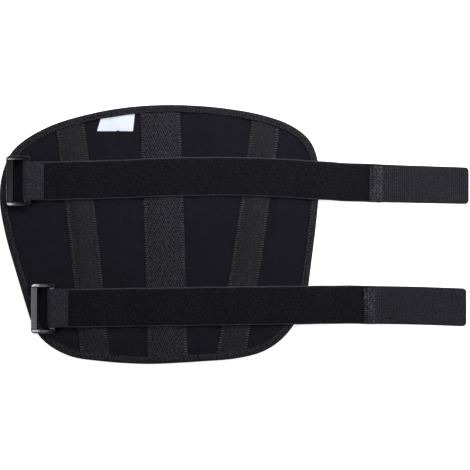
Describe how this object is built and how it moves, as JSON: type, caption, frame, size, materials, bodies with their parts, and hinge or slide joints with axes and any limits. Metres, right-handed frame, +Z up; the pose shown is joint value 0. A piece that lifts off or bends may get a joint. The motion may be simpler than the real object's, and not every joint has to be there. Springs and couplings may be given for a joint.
{
  "type": "forearm splint",
  "caption": "Padded forearm splint laid out flat, with bound edge, stay pockets, and plush straps that turn back through plastic rings and close with hook tabs.",
  "frame": {"origin": "on the table under the middle of the part's outline, straps included", "axes": "+X round the forearm from the rings to the strap tips, +Y along the forearm towards the elbow, +Z up from the table, out of the outer face"},
  "size_m": [0.462, 0.255, 0.0181],
  "materials": {
    "panel_cloth": "black foam laminate with a smooth knitted face",
    "binding_tape": "black woven binding tape",
    "herringbone_webbing": "charcoal herringbone webbing",
    "plain_webbing": "charcoal twill webbing",
    "plush_strap": "black brushed loop pile",
    "hook_tape": "dark grey hook tape",
    "label_cloth": "white satin tape",
    "ring_plastic": "glossy black moulded plastic"
  },
  "bodies": {
    "splint": {"foam_panel": "panel_cloth", "edge_binding": "binding_tape", "centre_stay_pocket": "herringbone_webbing", "left_stay_pocket": "plain_webbing", "right_stay_pocket": "plain_webbing", "label": "label_cloth", "upper_strap": "plush_strap", "lower_strap": "plush_strap", "upper_hook_tab": "hook_tape", "lower_hook_tab": "hook_tape"},
    "upper_ring": {"upper_ring": "ring_plastic"},
    "lower_ring": {"lower_ring": "ring_plastic"}
  },
  "joints": [
    {"name": "upper_ring_swing", "type": "hinge", "parent": "splint", "child": "upper_ring", "pos_m": [-0.2028, 0.0524, 0.01227], "axis": [0, 1, 0], "range_deg": [0, 165]},
    {"name": "lower_ring_swing", "type": "hinge", "parent": "splint", "child": "lower_ring", "pos_m": [-0.17859, -0.0725, 0.01142], "axis": [0, 1, 0], "range_deg": [0, 165]}
  ]
}
